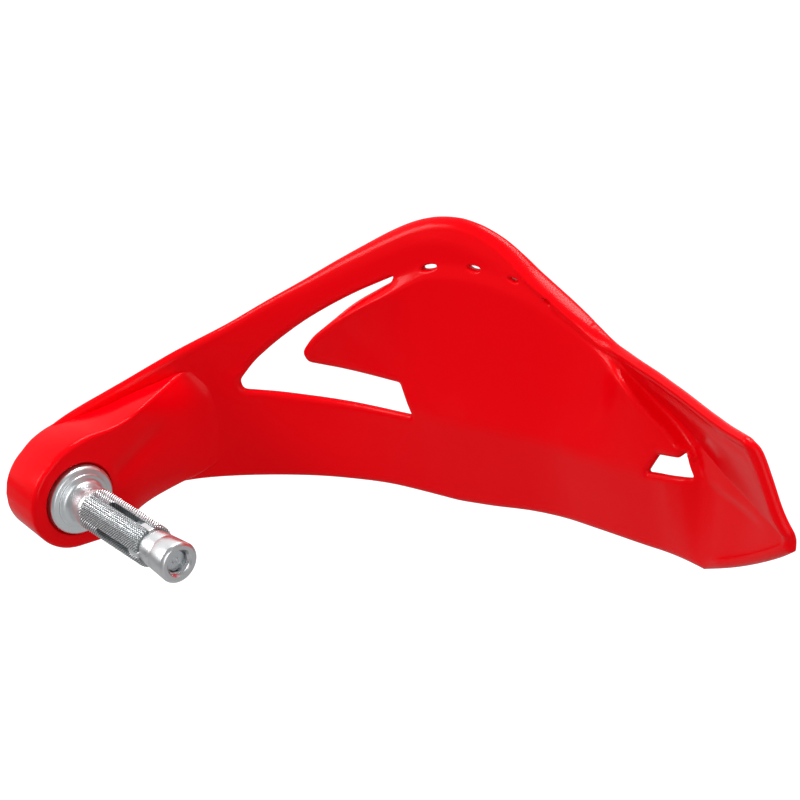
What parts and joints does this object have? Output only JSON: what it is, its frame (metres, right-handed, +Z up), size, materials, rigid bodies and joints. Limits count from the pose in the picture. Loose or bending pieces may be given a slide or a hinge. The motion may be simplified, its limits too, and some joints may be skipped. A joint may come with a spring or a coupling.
{
  "type": "motorcycle hand guard",
  "caption": "Vented plastic hand guard for a motorcycle's left grip, fixed to the open bar end by a slotted, knurled expander with a wedge nut and draw bolt.",
  "frame": {"origin": "on the handlebar's axis, where the bar's end stops on the flange", "axes": "+X inboard along the handlebar, +Y forward, away from the rider, +Z up"},
  "size_m": [0.2399, 0.1237, 0.1103],
  "materials": {
    "red_plastic": "moulded, glossy",
    "bush_steel": "turned",
    "plated_steel": "bright zinc plate",
    "nut_aluminium": "turned"
  },
  "bodies": {
    "expander": {"expander_sleeve": "plated_steel"},
    "guard": {"guard_shell": "red_plastic", "boss_bush": "bush_steel"},
    "bolt": {"draw_bolt": "plated_steel", "bolt_washer": "plated_steel"},
    "wedge": {"wedge_nut": "nut_aluminium"}
  },
  "joints": [
    {"name": "guard_swivel", "type": "hinge", "parent": "expander", "child": "guard", "pos_m": [0, 0, 0], "axis": [1, 0, 0], "range_deg": [-40, 40]},
    {"name": "bolt_turn", "type": "hinge", "parent": "expander", "child": "bolt", "pos_m": [0, 0, 0], "axis": [-1, 0, 0], "range_deg": [0, 1080]},
    {"name": "wedge_slide", "type": "slide", "parent": "expander", "child": "wedge", "axis": [1, 0, 0], "range_m": [0, 0.004]}
  ],
  "couplings": [
    {"joint": "wedge_slide", "follows": "bolt_turn", "m_per_rad": 0.00019894}
  ]
}
